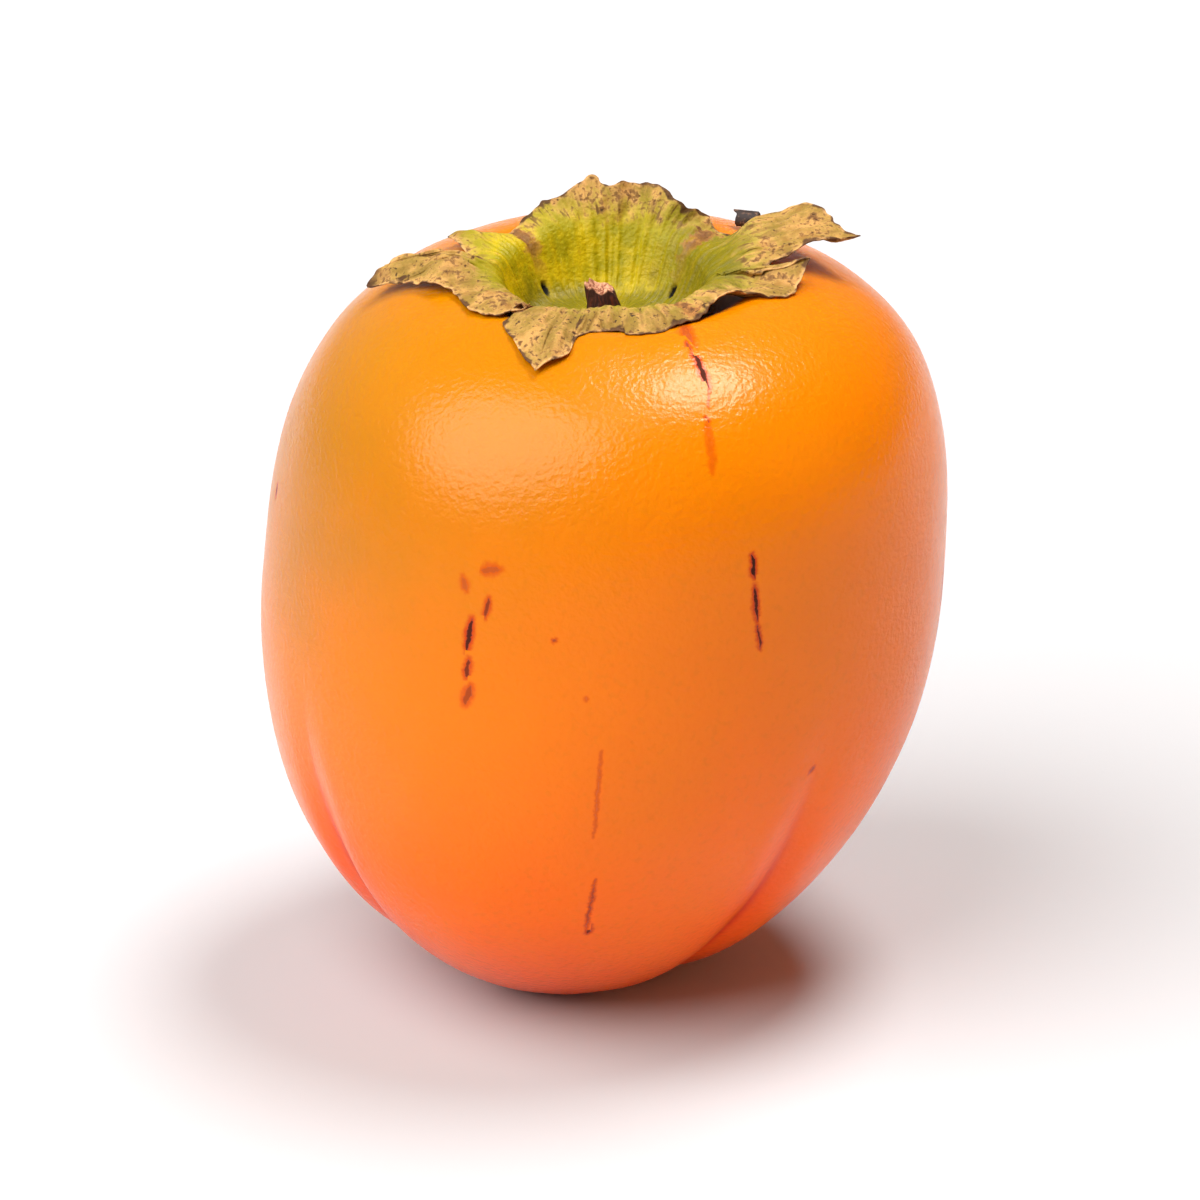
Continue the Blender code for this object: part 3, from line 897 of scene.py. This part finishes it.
@dataclass
class Calyx:
    """The calyx: four sepals grown together at the foot, dried, crumpled and torn.

    Its sheet hangs on seven rings: four of the bowl, its rim, one halfway up the lobes and the
    margin. Along each line the sheet is the quadratic B-spline of the seven points, and relief
    is then laid on along its normals. row_places gives a row's place on the rings, 0 to 7, by
    its share of the rows, and crest_place is the place on the rings where the rim is highest.
    """

    fruit: Fruit
    floor_height: float
    margin: TornMargin = TornMargin()
    thickness: float = 0.34 * MM
    edge_thickness: float = 0.14 * MM
    gap: float = 0.06 * MM
    bowl_rings: Table = ((0.5, 0.0), (6.2, 0.0), (8.9, 0.1), (10.4, 3.3))
    rim_radius: float = 11.6 * MM
    rim_heights: Table = (
        (0, 6.2), (40, 6.1), (90, 6.3), (140, 6.1), (180, 6.4), (228, 6.0), (250, 6.9),
        (270, 7.2), (290, 6.9), (312, 6.5), (330, 6.6),
    )
    rows: int = 72
    columns: int = 640
    row_places: Table = ((0.0, 0.0), (0.22, 3.0), (0.42, 4.0), (1.0, 7.0))
    crest_place: float = 4.5
    rim_spread: float = 0.25
    edge_width: float = 1.5 * MM
    fibre_pace: float = 0.16
    crumples: Ripple = Ripple(0.30 * MM, 31, (5, 14), 7.0 * MM)
    wrinkles: Ripple = Ripple(0.07 * MM, 33, (16, 60), 2.4 * MM, 40)
    veins: Ripple = Ripple(0.05 * MM, 35, (45, 110), 30.0 * MM, 40)
    frays: Ripple = Ripple(0.055 * MM, 23, (40, 150), waves=50)
    seams: tuple[float, ...] = (39.0, 133.0, 229.0, 308.0)
    seam_half_width: float = 1.3 * MM
    seam_depth: float = 0.1925 * MM
    slit_half_width: float = 0.34 * MM
    slit_depth: float = 0.55 * MM

    @staticmethod
    def _around(table: Table, azimuth: Array) -> Array:
        """Read a table of azimuth and value at any azimuth in radians."""
        degrees, values = zip(*table)
        return np.interp(np.degrees(azimuth), degrees, values, period=360.0)

    def lines(self) -> tuple[Array, Array, Array]:
        """Azimuth on the rim, margin point and arch of each line, evenly along the margin."""
        table = np.array(self.margin.rows)
        table = np.concatenate([table, table[:1] + [360.0, 360.0, 0.0, 0.0, 0.0]])
        rim, turn = np.radians(table[:, :2]).T
        radius, height, arch = table[:, 2:].T * MM
        ends = round_axis(0.0, 0.0, radius, turn, height)
        pace = np.linalg.norm(np.diff(ends, axis=0), axis=1)
        pace = pace + self.rim_spread * self.rim_radius * np.diff(rim)
        place = np.concatenate([[0.0], np.cumsum(pace)])
        line = np.linspace(0.0, place[-1], self.columns, endpoint=False)
        rim, arch, *margin = (np.interp(line, place, values) for values in (rim, arch, *ends.T))
        margin = np.stack(margin, axis=-1)
        margin = (np.roll(margin, 1, axis=0) + 2 * margin + np.roll(margin, -1, axis=0)) / 4
        frayed = self.frays(line / place[-1] * TURN, 0.0)
        outwards = margin / np.linalg.norm(margin[:, :2], axis=1, keepdims=True)
        return rim, margin + outwards * frayed[:, None], arch

    def rings(self, azimuth: Array, margin: Array, arch: Array) -> Array:
        """The seven rings that the sheet hangs on."""
        bowl = [
            round_axis(0.0, 0.0, MM * radius, azimuth, MM * height)
            for radius, height in self.bowl_rings
        ]
        height = MM * self._around(self.rim_heights, azimuth)
        rim = round_axis(0.0, 0.0, self.rim_radius, azimuth, height)
        halfway = (rim + margin) / 2
        halfway[:, 2] += arch
        return np.stack([*bowl, rim, halfway, margin])

    @staticmethod
    def rounded(rings: Array, place: Array) -> Array:
        """The smooth sheet that the rings pull on: a quadratic B-spline along each line.

        Past a whole number by share, the three rings there weigh (1 - share)^2 / 2, then
        1 / 2 + share (1 - share), then share^2 / 2; the end rings count twice.

        Args:
            rings: their points.
            place: of each row, from 0 on the first ring to the number of rings on the last.

        Returns:
            A row of points for each place.
        """
        padded = np.concatenate([rings[:1], rings, rings[-1:]])
        leg = np.minimum(place.astype(int), len(rings) - 1)
        share = (place - leg)[:, None, None]
        middle = (0.5 + share * (1.0 - share)) * padded[leg + 1]
        return middle + ((1.0 - share) ** 2 * padded[leg] + share**2 * padded[leg + 2]) / 2

    def relief(self, azimuth: Array, past: Array) -> Array:
        """Height over the smooth sheet of crumples, wrinkles and, beyond the floor, veins."""
        loose = smooth_step(-1.5 * MM, 4.0 * MM, past)
        spread = smooth_step(-12.0 * MM, -7.0 * MM, past)
        wrinkles = self.wrinkles(azimuth, past) * (0.2 + 0.8 * loose)
        return self.crumples(azimuth, past) * loose + wrinkles + self.veins(azimuth, past) * spread

    def seam_shares(self, azimuth: Array, radius: Array, past: Array) -> tuple[Array, Array]:
        """1 along the pinched seams between sepals, falling to 0 beside them.

        Args:
            azimuth: on the rim, in radians.
            radius: from the calyx's axis.
            past: distance past the rim.

        Returns:
            The share of a seam's whole length, from the bowl's floor to its rim, and that of the
            slit at its foot.
        """
        length = smooth_step(-7.0 * MM, -3.5 * MM, past) - smooth_step(3.0 * MM, 7.0 * MM, past)
        foot = smooth_step(-6.3 * MM, -5.9 * MM, past) - smooth_step(-4.9 * MM, -4.3 * MM, past)
        seam, slit = np.zeros(past.shape), np.zeros(past.shape)
        for centre in self.seams:
            aside = np.radians(degrees_apart(azimuth, centre)) * radius
            seam = np.maximum(seam, bell(aside, self.seam_half_width))
            slit = np.maximum(slit, bell(aside, self.slit_half_width))
        return seam * length, slit * foot

    @staticmethod
    def normals(points: Array) -> Array:
        """Unit normals of a grid of lines, pointing up from the bowl's floor."""
        sideways = np.roll(points, -1, axis=1) - np.roll(points, 1, axis=1)
        normal = np.cross(np.gradient(points, axis=0), sideways)
        return normal / np.maximum(np.linalg.norm(normal, axis=-1, keepdims=True), 1e-12)

    @staticmethod
    def from_margin(sheet: Array, arc: Array) -> Array:
        """Distance from the margin: what is left of a line, times the sine of its slant there."""
        outwards = np.gradient(sheet, axis=0)
        sideways = np.roll(sheet[-1], -1, axis=0) - np.roll(sheet[-1], 1, axis=0)
        crossed = np.linalg.norm(np.cross(outwards, sideways[None]), axis=-1)
        lengths = np.linalg.norm(outwards, axis=-1) * np.linalg.norm(sideways, axis=-1)[None]
        return (arc[-1] - arc) * crossed / np.maximum(lengths, 1e-12)

    def upper_face(self) -> tuple[Array, Array, dict[str, Array]]:
        """The upper face as a grid from near the centre to the margin.

        Returns:
            Its points, how thick the wall is at each, and what the finish reads there: its share
            of a seam and of a seam's slit, in millimetres how far it lies past the green and
            from the margin, and its place in a pattern that runs along the lines.
        """
        rim_azimuth, margin, arch = self.lines()
        place = np.interp(np.linspace(0.0, 1.0, self.rows), *zip(*self.row_places))
        sheet = self.rounded(self.rings(rim_azimuth, margin, arch), place)
        step = np.linalg.norm(np.diff(sheet, axis=0), axis=-1)
        arc = np.concatenate([np.zeros((1, self.columns)), np.cumsum(step, axis=0)])
        past = arc - arc[np.searchsorted(place, self.crest_place)]
        azimuth = np.broadcast_to(rim_azimuth, past.shape)
        seam, slit = self.seam_shares(azimuth, np.linalg.norm(sheet[..., :2], axis=-1), past)
        raised = self.relief(azimuth, past) - self.seam_depth * seam - self.slit_depth * slit
        points = sheet + self.normals(sheet) * raised[..., None]
        points = points + [self.fruit.calyx_x, 0.0, self.floor_height]
        edge = self.from_margin(sheet, arc)
        thick = smooth_step(0.0, self.edge_width, edge)
        wall = self.edge_thickness + (self.thickness - self.edge_thickness) * thick
        lowest = self.fruit.crown_height(points[..., 0], points[..., 1])
        points[..., 2] = np.maximum(points[..., 2], lowest + wall + self.gap)
        dry = past / MM - self._around(self.margin.green_reach, azimuth)
        fibre = round_axis(0.0, 0.0, self.rim_radius / MM, azimuth, self.fibre_pace * past / MM)
        values = {"seam": seam, "slit": slit, "dry": dry, "edge": edge / MM, "fibre": fibre}
        return points, wall, values

    def build(self, finish: "CalyxFinish") -> None:
        """Make the calyx: the under face out from the centre, and the upper face back to it."""
        points, wall, values = self.upper_face()
        under = points - self.normals(points) * wall[..., None]
        values = {name: np.concatenate([grid, grid[::-1]]) for name, grid in values.items()}
        sheet = RoundGrid(np.concatenate([under, points[::-1]]), values)
        sheet.build("sepals", finish.build(), CadNode.CALYX, "calyx")


@dataclass(frozen=True)
class CalyxFinish:
    """Green-yellow bowl with pale fibres, drying to speckled olive and tan, torn brown edges."""

    green: Colour = linear(146, 134, 0)
    yellow: Colour = linear(188, 162, 0)
    fibre: Colour = linear(190, 164, 34)
    # bowl_shade: a dark green laid on as painted shade at the bowl's foot and on its right side
    bowl_shade: Colour = linear(84, 76, 0)
    olive: Colour = linear(134, 118, 30)
    khaki: Colour = linear(168, 144, 60)
    tan: Colour = linear(192, 148, 82)
    withered: Colour = linear(136, 102, 46)
    cinnamon: Colour = linear(186, 138, 76)
    pale: Colour = linear(210, 162, 104)
    rust: Colour = linear(160, 100, 54)
    brown: Colour = linear(88, 54, 26)
    scorch: Colour = linear(66, 36, 18)
    # dark: the near-black of real dots, and painted shade in the slits
    dark: Colour = linear(14, 9, 4)

    def _lobes(self, sketch: Sketch, dry: Signal, tones: Signal) -> Socket:
        """Olive to tan where the sheet has just dried, and browner towards the tips."""
        fresh = sketch.mix(tones.rising(0.15, 0.5), self.olive, self.khaki)
        fresh = sketch.mix(tones.rising(0.45, 0.85), fresh, self.tan)
        old = sketch.mix(tones.rising(0.2, 0.8), self.withered, self.cinnamon)
        return sketch.mix((dry + tones * 3.0).rising(1.5, 5.5) * 0.75, fresh, old)

    def _bowl(self, sketch: Sketch, dry: Signal, tones: Signal) -> Socket:
        """Mottled green and yellow, with painted shade: darker at the foot of the wall and on the
        right.
        """
        bowl = sketch.mix(tones.rising(0.2, 0.85), self.green, self.yellow)
        x, _, _ = sketch.split(sketch.place)
        # right and foot mask the painted shade: darker on the bowl's right side and at the foot of
        # its wall
        right = (x / MM + tones * 6.0).rising(7.0, 13.0)
        foot = (dry + tones * 2.0).rising(-5.5, -8.5)
        return sketch.mix(right.at_least(foot) * 0.7, bowl, self.bowl_shade)

    def _colour(self, sketch: Sketch) -> Socket:
        """Blend bowl and lobes, then fibres, specks, seams, edges and painted shade in the slits.
        """
        dry, edge = sketch.attribute("dry"), sketch.attribute("edge")
        seam, slit = sketch.attribute("seam"), sketch.attribute("slit")
        along = sketch.vector("fibre")
        streak = sketch.noise(0.9, 3.0, place=along) - 0.5
        fine_streak = sketch.noise(0.35, 2.0, place=along) - 0.5
        patch = sketch.noise(5 * MM, 3.0) - 0.5
        mottle = sketch.noise(1.5 * MM, 3.0) - 0.5
        fine = sketch.noise(0.5 * MM, 3.0) - 0.5
        bowl = self._bowl(sketch, dry, patch * 1.5 + mottle + streak * 0.6 + 0.5)
        bowl = sketch.mix(fine_streak.rising(0.0, 0.25) * 0.22, bowl, self.fibre)
        tones = streak * 1.2 + mottle * 1.4 + patch + fine * 0.6 + 0.5
        lobe = self._lobes(sketch, dry, tones)
        dryness = (dry + patch * 5.0 + streak * 4.0 + mottle * 4.0).rising(-2.2, 2.6)
        turning = dryness * (1.0 - dryness) * 4.0
        ticks = (fine_streak + mottle * 0.6).rising(0.06, 0.20)
        band = (seam + mottle * 2.0 + fine * 1.2).rising(0.4, 0.8)
        near_rim = (dry + patch * 4.0).rising(-6.0, -2.0)
        blots = (mottle + patch * 0.4 + seam * 0.2).rising(0.14, 0.24)
        specks = (fine + patch * 0.3 + mottle * 0.4).rising(0.02, 0.16)
        dots = (fine - patch * 0.2).rising(0.14, 0.22)
        ruddy = (patch * 1.2 - mottle).rising(0.05, 0.35)
        rim = (edge + fine * 0.5 + mottle * 0.6).rising(0.40, 0.10)
        scorched = (edge + mottle * 2.8 + patch * 2.6).rising(0.30, -0.15)
        x, _, _ = sketch.split(sketch.place)
        tip = (x / MM + mottle * 4.0).rising(-23.4, -25.2)
        return sketch.paint(
            sketch.mix(dryness, bowl, lobe),
            (self.brown, ticks * (turning * 0.6 + dryness * 0.3)),
            (self.rust, band * (near_rim * 0.6 + 0.1)),
            (self.brown, blots * dryness.at_least(seam * near_rim) * 0.65),
            (self.brown, specks * dryness * 0.7),
            (self.dark, dots * dryness * 0.7),
            (self.rust, ruddy * dryness * 0.35),
            (self.pale, rim * dryness * 0.6),
            (self.scorch, scorched * 0.9),
            (self.scorch, tip * 0.85),
            # painted shade: the slits at the seams' feet are painted near black, for the shadow in
            # the gap
            (self.dark, (slit + fine * 0.8).rising(0.1, 0.65)),
        )

    def build(self) -> Material:
        """Make the material."""
        sketch = Sketch.material("dried_calyx")
        dryness = sketch.attribute("dry").rising(-3.0, 2.0)
        sketch.set(
            Base_Color=self._colour(sketch),
            Roughness=dryness * 0.34 + sketch.attribute("slit") * 0.4 + 0.44,
            Subsurface_Weight=0.10,
            Subsurface_Radius=(1.0, 0.7, 0.2),
            Subsurface_Scale=0.6 * MM,
            Specular_IOR_Level=0.22,
        )
        sketch.bump(sketch.noise(0.45 * MM, 4.0), 0.16 * MM)
        return sketch.owner


@dataclass
class Scrap:
    """A dead petal's curled scrap, caught on the skin in the gap between two sepals.

    It is cut out as an oval and rolled up: a point at a distance d from its middle line goes,
    at the angle d / r plus that of the opening, to r sin aside and r (1 - cos) up.
    """

    fruit: Fruit
    plan: tuple[float, float] = (16.1 * MM, 14.5 * MM)
    half_width: float = 2.75 * MM
    half_length: float = 1.4 * MM
    roll: float = 1.05 * MM
    opening: float = 2.8
    turn: float = 75.0
    thickness: float = 0.16 * MM
    gap: float = 0.05 * MM
    tears: Ripple = Ripple(0.07, 61, (2, 9))
    middle_share: float = 0.06
    rows: int = 14
    columns: int = 48

    def build(self, finish: "GrainFinish") -> None:
        """Make the scrap and dress it."""
        share, azimuth = grid_axes(self.rows, self.columns)
        share = self.middle_share + (1.0 - self.middle_share) * share
        torn = 1.0 + self.tears(azimuth, 0.0) * share
        aside, along = share * torn * np.cos(azimuth), share * torn * np.sin(azimuth)
        angle = aside * self.half_width / self.roll + self.opening
        faces = []
        for radius in (self.roll, self.roll - self.thickness):
            places = (radius * np.sin(angle), self.half_length * along, -radius * np.cos(angle))
            faces.append(np.stack(places, axis=-1))
        points = np.concatenate([faces[0], faces[1][::-1]]) + [0.0, 0.0, self.roll]
        turn = math.radians(self.turn)
        spin = np.array([[math.cos(turn), math.sin(turn)], [-math.sin(turn), math.cos(turn)]])
        points[..., :2] = points[..., :2] @ spin
        skin = float(self.fruit.crown_height(*np.array(self.plan)))
        scrap = RoundGrid(points + [*self.plan, skin + self.gap])
        scrap.build("petal_scrap", finish.build(), CadNode.CALYX, "calyx")


@dataclass(frozen=True)
class GrainFinish:
    """A dead, dry, almost black skin, paler where its grain is worn.

    Fields:
        name: of the material.
        dry, worn: its colours.
        grain, relief: size and height of the grain.
        roughness: of the whole.
    """

    name: str
    dry: Colour
    worn: Colour
    grain: float
    relief: float
    roughness: float

    def build(self) -> Material:
        """Make the material."""
        sketch = Sketch.material(self.name)
        grain = sketch.noise(self.grain, 3.0)
        colour = sketch.mix(grain.rising(0.5, 0.75), self.dry, self.worn)
        sketch.set(Base_Color=colour, Roughness=self.roughness)
        sketch.bump(grain, self.relief)
        return sketch.owner


PETAL_FINISH = GrainFinish(
    "dead_petal", linear(40, 22, 14), linear(120, 84, 60), 0.5 * MM, 0.1 * MM, 0.7
)
STYLE_FINISH = GrainFinish(
    "dried_style", linear(34, 20, 14), linear(84, 54, 36), 0.2 * MM, 0.04 * MM, 0.85
)


# --- stem and style tip


@dataclass
class Stem:
    """The cut stub of the stem: ridged and tapered, with a torn, hollowed cut.

    A ring at share s of the height has a radius that tapers and flares at the foot, times one
    plus ridges round it. The cut's rings shrink to the middle and dip there.
    """

    foot: Vector
    height: float
    foot_radius: float = 1.95 * MM
    top_radius: float = 1.5 * MM
    flare: float = 0.28
    flare_reach: float = 0.10
    ridges: Ripple = Ripple(0.055, 41, (3, 9), 9 * MM)
    grain: Ripple = Ripple(0.020, 43, (12, 30), 3 * MM)
    lean: tuple[float, float] = (-0.6 * MM, 0.3 * MM)
    tears: Ripple = Ripple(0.14 * MM, 45, (1, 7))
    slant: float = 0.35 * MM
    dip: float = 0.45 * MM
    chips: Ripple = Ripple(0.12 * MM, 47, (2, 9), 1 * MM)
    middle_share: float = 0.12
    bark_end: float = 0.93
    rows: int = 40
    cut_rows: int = 14
    columns: int = 72

    def build(self, finish: "StemFinish") -> None:
        """Make the stub and dress it."""
        share, azimuth = grid_axes(self.rows, self.columns)
        inward = np.linspace(1.0, self.middle_share, self.cut_rows)[1:, None]
        flare = 1.0 + self.flare * np.exp(-share / self.flare_reach)
        radius = (self.foot_radius + (self.top_radius - self.foot_radius) * share) * flare
        rise = share * self.height
        side = radius * (1.0 + self.ridges(azimuth, rise) + self.grain(azimuth, rise))
        cut = side[-1:] * inward
        torn = self.tears(azimuth, 0.0) - self.slant * (np.cos(azimuth) + 1.0)
        side_height = rise + torn * share**4
        dip = self.dip * (1.0 - inward**2) - self.chips(azimuth, cut)
        level = side_height[-1:].mean()
        cut_height = level + (side_height[-1:] - level) * inward - dip
        top = np.ones_like(inward)
        drift = np.concatenate([share, top]) ** 2
        points = round_axis(
            self.foot.x + self.lean[0] * drift,
            self.foot.y + self.lean[1] * drift,
            np.concatenate([side, cut]),
            azimuth,
            self.foot.z + np.concatenate([side_height, cut_height]),
        )
        bare = np.concatenate([smooth_step(self.bark_end, 1.0, share), top])
        stub = RoundGrid(points, {"cut": np.broadcast_to(bare, points.shape[:2])})
        stub.build("stem_stub", finish.build(), CadNode.STEM, "stem")


@dataclass(frozen=True)
class StemFinish:
    """Dark weathered bark with upright fibres, and paler broken wood on the cut."""

    bark: Colour = linear(46, 16, 8)
    worn: Colour = linear(98, 42, 20)
    wood: Colour = linear(206, 152, 118)
    pith: Colour = linear(128, 70, 46)

    def build(self) -> Material:
        """Make the material."""
        sketch = Sketch.material("stem_bark")
        fibres = sketch.noise(0.35 * MM, 3.0, (1.0, 1.0, 6.0))
        chips = sketch.noise(0.5 * MM, 3.0)
        bark = sketch.mix(fibres.rising(0.45, 0.75), self.bark, self.worn)
        wood = sketch.mix(chips.rising(0.4, 0.65), self.wood, self.pith)
        colour = sketch.mix(sketch.attribute("cut"), bark, wood)
        sketch.set(Base_Color=colour, Roughness=fibres * 0.2 + 0.65, Specular_IOR_Level=0.3)
        sketch.bump(fibres + chips, 0.12 * MM)
        return sketch.owner


@dataclass
class StyleTip:
    """The dried tip of the style: a small twisted spike that points down from the pit.

    Its radius tapers with the share of its length, times the root of what is left at the point,
    times one plus a cosine of four times the azimuth, turned on by the twist.
    """

    top: Vector
    length: float
    radius: float
    taper: float = 0.62
    ridge: float = 0.12
    twist: float = 3.0
    point: float = 0.12
    bluntness: float = 0.02
    rows: int = 18
    columns: int = 20

    def build(self, finish: GrainFinish) -> None:
        """Make the spike and dress it."""
        share, azimuth = grid_axes(self.rows, self.columns)
        blunt = np.minimum((1.0 + self.bluntness - share) / self.point, 1.0) ** 0.5
        taper = (1.0 - self.taper * share) * blunt
        ridges = 1.0 + self.ridge * np.cos(4 * azimuth + self.twist * share)
        out = self.radius * taper * ridges / (1.0 + self.ridge)
        points = round_axis(self.top.x, self.top.y, out, azimuth, self.top.z - self.length * share)
        spike = RoundGrid(points[::-1])
        spike.build("style_spike", finish.build(), CadNode.STYLE_TIP, "style_tip")


# --- studio


@dataclass(frozen=True)
class SoftBox:
    """An oval area light.

    Fields:
        name: of the light.
        direction: from the object towards it.
        distance: from the object.
        size: its two sides.
        power: in watts, of each part of the colour.
        colour: of the light.
    """

    name: str
    direction: Triple
    distance: float
    size: tuple[float, float]
    power: float
    colour: Colour = (1.0, 1.0, 1.0)

    def build(self, target: Vector) -> None:
        """Hang the light and turn it to the target, its first side as near X as it goes."""
        light = bpy.data.lights.new(self.name, "AREA")
        light.shape = "ELLIPSE"
        light.size, light.size_y = self.size
        light.energy = self.power
        light.color = self.colour
        lamp = put(self.name, light)
        towards = Vector(self.direction).normalized()
        lamp.location = target + towards * self.distance
        side = (Vector((1.0, 0.0, 0.0)) - towards * towards.x).normalized()
        axes = Matrix((side, towards.cross(side), towards))
        lamp.rotation_euler = axes.transposed().to_euler()


@dataclass
class Studio:
    """Pale floor, soft light and the camera."""

    target: Vector
    view_height: float
    elevation: float = 24.0
    lens: float = 400.0
    sensor: float = 36.0
    floor_side: float = 6.0
    horizon_glow: float = 0.36
    zenith_loss: float = 0.30
    left_gain: float = 0.26
    least_glow: float = 0.05
    floor_colour: Colour = linear(193, 193, 194)
    boxes: tuple[SoftBox, ...] = (
        SoftBox("top_box", (0.25, 0.15, 0.95), 1.5, (0.54, 0.90), 24.0),
        SoftBox("left_box", (-0.55, -0.36, 0.75), 2.0, (2.35, 2.1), 67.0),
        SoftBox("right_fill", (0.90, -0.28, 0.34), 2.0, (1.6, 1.4), 8.0, (1.0, 0.4, 0.08)),
    )

    def floor(self) -> None:
        """A wide matt floor, a backdrop and not part of the object."""
        half = self.floor_side / 2
        corners = [(-half, -half, 0.0), (half, -half, 0.0), (half, half, 0.0), (-half, half, 0.0)]
        mesh = bpy.data.meshes.new("floor")
        mesh.from_pydata(corners, [], [(0, 1, 2, 3)])
        floor = put("floor", mesh)
        sketch = Sketch.material("pale_floor")
        sketch.set(Base_Color=self.floor_colour, Roughness=0.9, Specular_IOR_Level=0.1)
        mesh.materials.append(sketch.owner)
        floor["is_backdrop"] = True

    def light(self) -> None:
        """A white surround, dimmer overhead and brighter at the left, and the soft boxes."""
        sky = Sketch(bpy.data.worlds.new("surround"), "Background", "Generated")
        inputs = {0: sky.place, 1: (-self.left_gain, 0.0, -self.zenith_loss)}
        slope = sky.add("ShaderNodeVectorMath", {"operation": "DOT_PRODUCT"}, inputs)
        glow = Signal(sky, slope.outputs["Value"]) + self.horizon_glow
        sky.set(Color=(1.0, 1.0, 1.0), Strength=glow.at_least(self.least_glow))
        bpy.context.scene.world = sky.owner
        for box in self.boxes:
            box.build(self.target)

    def camera(self) -> None:
        """A long lens from the front, looking down at the target."""
        lens = bpy.data.cameras.new("camera")
        lens.lens = self.lens
        lens.sensor_width = self.sensor
        camera = put("camera", lens)
        up = math.radians(self.elevation)
        back = Vector((0.0, -math.cos(up), math.sin(up)))
        distance = self.view_height * self.lens / self.sensor
        camera.location = self.target + back * distance
        camera.rotation_euler = (-back).to_track_quat("-Z", "Y").to_euler()
        bpy.context.scene.camera = camera

    def build(self) -> None:
        """Set the whole studio up."""
        self.floor()
        self.light()
        self.camera()
        bpy.context.scene.view_settings.view_transform = "Standard"


# --- assembly


def corners(box: tuple[Vector, Vector]) -> list[list[float]]:
    """A box's two corners as plain numbers."""
    return [[float(value) for value in corner] for corner in box]


def main() -> None:
    """Load the frame, build every piece around it, and set up the studio."""
    logging.basicConfig(level=logging.INFO, format="%(name)s: %(message)s")
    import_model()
    cad_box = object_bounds()
    calyx_low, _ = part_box(CadNode.CALYX.value)
    _, stem_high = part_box(CadNode.STEM.value)
    style_low, style_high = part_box(CadNode.STYLE_TIP.value)
    fruit = Fruit()
    fruit.build(SkinFinish())
    calyx_floor = calyx_low.z + SOLID_CALYX_THICKNESS
    Calyx(fruit, calyx_floor).build(CalyxFinish())
    Scrap(fruit).build(PETAL_FINISH)
    foot = Vector((fruit.calyx_x, 0.0, calyx_floor))
    Stem(foot, stem_high.z - calyx_floor - STEM_SPARE).build(StemFinish())
    style_middle = (style_low + style_high) / 2
    style_top = Vector((style_middle.x, style_middle.y, style_high.z))
    style_length = style_high.z - style_low.z
    StyleTip(style_top, style_length, (style_high.x - style_low.x) / 2).build(STYLE_FINISH)
    view_height = VIEW_SHARE * (cad_box[1].z - cad_box[0].z)
    Studio(Vector((0.0, 0.0, VIEW_CENTRE)), view_height).build()


if __name__ == "__main__":
    main()
